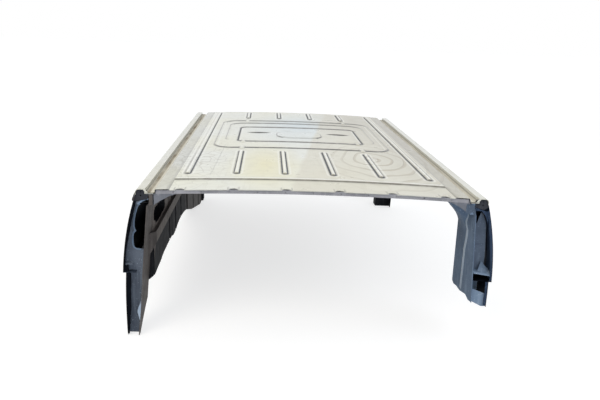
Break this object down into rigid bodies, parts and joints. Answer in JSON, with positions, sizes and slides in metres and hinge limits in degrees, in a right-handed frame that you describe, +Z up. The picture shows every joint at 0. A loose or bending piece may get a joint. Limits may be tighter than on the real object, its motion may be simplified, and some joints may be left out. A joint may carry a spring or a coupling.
{
  "type": "van high top roof",
  "caption": "Pressed steel high roof cut from a panel van, with ribbed skin, drain ditches, cab end portal, one high side wall and an open side door bay.",
  "frame": {"origin": "on the floor under the middle of the part's bounding box", "axes": "+X across the van to the side with the door opening, +Y from the cab end to the rear end, +Z up"},
  "size_m": [1.94, 2.55, 0.8585],
  "materials": {
    "roof_paint": "gloss",
    "rail_paint": "gloss",
    "seam_sealer": "matte",
    "header_grey": "satin",
    "primer_grey": "satin",
    "black_primer": "matte",
    "brown_primer": "satin",
    "slate_primer": "satin",
    "dark_primer": "satin",
    "body_paint": "satin"
  },
  "bodies": {
    "root": {"roof_skin": "roof_paint", "side_rail_left": "rail_paint", "side_rail_right": "rail_paint", "ditch_sealer_left": "seam_sealer", "ditch_sealer_right": "seam_sealer", "front_header": "header_grey", "header_gusset_left": "header_grey", "header_gusset_right": "header_grey", "roof_bow_front": "primer_grey", "roof_bow_rear": "primer_grey", "rear_header": "primer_grey", "rail_end_cap_left": "rail_paint", "rail_end_cap_right": "rail_paint", "corner_bracket_left": "black_primer", "corner_bracket_right": "black_primer", "cant_rail_left": "primer_grey", "cant_rail_right": "primer_grey", "front_post_left": "brown_primer", "front_post_right": "slate_primer", "post_web_left": "slate_primer", "post_web_right": "slate_primer", "post_foot_right": "slate_primer", "step_shelf_left": "dark_primer", "step_shelf_right": "slate_primer", "upper_skin_left": "body_paint", "lower_skin_left": "body_paint", "post_skin_right": "body_paint", "door_head_skin_right": "body_paint", "rear_skin_right": "body_paint", "waist_rail_left": "brown_primer", "upper_liner_left": "dark_primer", "lower_liner_left": "dark_primer", "side_post_left_1": "dark_primer", "side_post_left_2": "dark_primer", "side_post_left_3": "dark_primer", "rear_post_left": "dark_primer", "rear_post_right": "dark_primer"}
  },
  "joints": []
}
